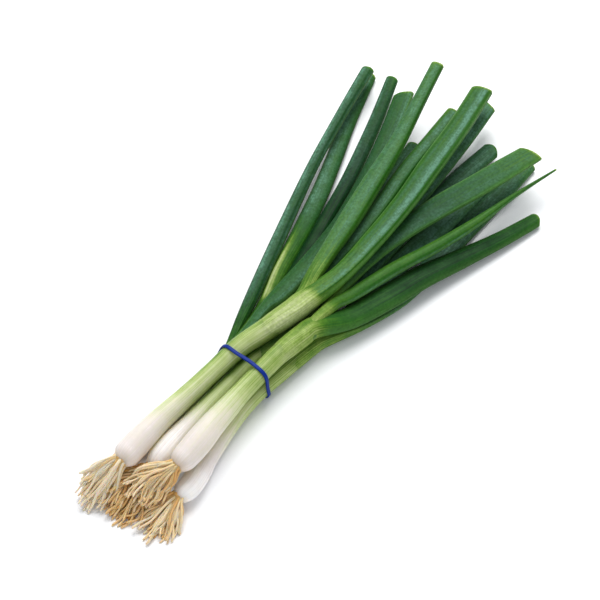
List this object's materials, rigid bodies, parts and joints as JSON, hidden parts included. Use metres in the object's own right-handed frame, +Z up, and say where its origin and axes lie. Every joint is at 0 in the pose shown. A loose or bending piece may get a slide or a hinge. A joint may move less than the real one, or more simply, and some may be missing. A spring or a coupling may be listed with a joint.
{
  "type": "spring onion bunch",
  "caption": "Bunch of spring onions lying flat, with slim white bulbs, tufts of roots and long green leaves cut across at the tips, tied at the necks with a blue rubber band.",
  "frame": {"origin": "on the surface that the bunch lies on, under the middle of its bounding box", "axes": "+X along the bunch from the roots to the leaf tips, +Y to the left seen from the roots, +Z up"},
  "size_m": [0.343, 0.1502, 0.0353],
  "materials": {
    "stalk": "moist, smooth skin, white at the bulb and green at the neck",
    "leaf": "waxy, finely ribbed along its length",
    "roots": "dry and dull",
    "band": "smooth, slightly glossy"
  },
  "bodies": {
    "root": {"onion_1_stalk": "stalk", "onion_1_roots": "roots", "onion_2_stalk": "stalk", "onion_2_roots": "roots", "onion_3_stalk": "stalk", "onion_3_roots": "roots", "onion_4_stalk": "stalk", "onion_4_roots": "roots", "onion_5_stalk": "stalk", "onion_5_roots": "roots", "onion_1_leaf_1": "leaf", "onion_1_leaf_2": "leaf", "onion_1_leaf_3": "leaf", "onion_1_leaf_4": "leaf", "onion_2_leaf_1": "leaf", "onion_2_leaf_2": "leaf", "onion_2_leaf_3": "leaf", "onion_3_leaf_1": "leaf", "onion_3_leaf_2": "leaf", "onion_3_leaf_3": "leaf", "onion_4_leaf_1": "leaf", "onion_4_leaf_2": "leaf", "onion_5_leaf_1": "leaf", "onion_5_leaf_2": "leaf", "onion_5_leaf_3": "leaf", "rubber_band": "band"}
  },
  "joints": []
}
